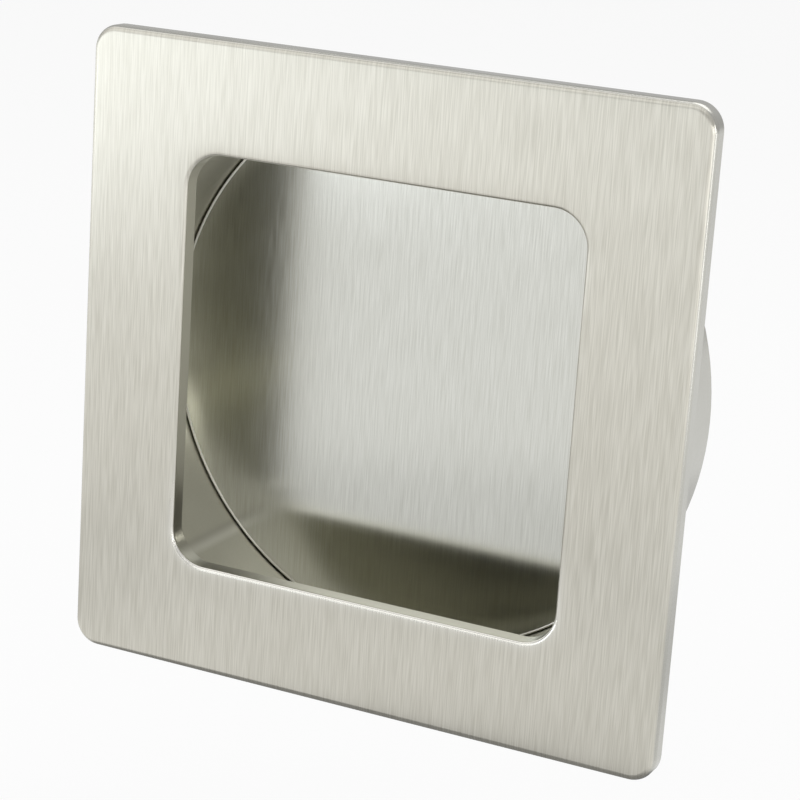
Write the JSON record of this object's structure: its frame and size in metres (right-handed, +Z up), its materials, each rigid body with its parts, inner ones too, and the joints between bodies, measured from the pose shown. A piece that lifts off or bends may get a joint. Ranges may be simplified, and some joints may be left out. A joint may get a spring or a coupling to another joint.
{
  "type": "recessed pull handle",
  "caption": "Square flush pull for a sliding or cupboard door, with a rounded-square opening over a shallow round cup, in satin metal.",
  "frame": {"origin": "centre of the plate's back face, on the axis of the collar, where the plate lies against the door", "axes": "+Z up, +Y into the door along the collar, the front faces -Y, +X to the right as seen from the front"},
  "size_m": [0.07, 0.015, 0.07],
  "materials": {
    "satin_plate": "fine upright satin brushing on the front, smooth satin inside the collar and on its outside",
    "satin_disc": "fine upright satin brushing"
  },
  "bodies": {
    "root": {"face_plate": "satin_plate", "floor_disc": "satin_disc"}
  },
  "joints": []
}
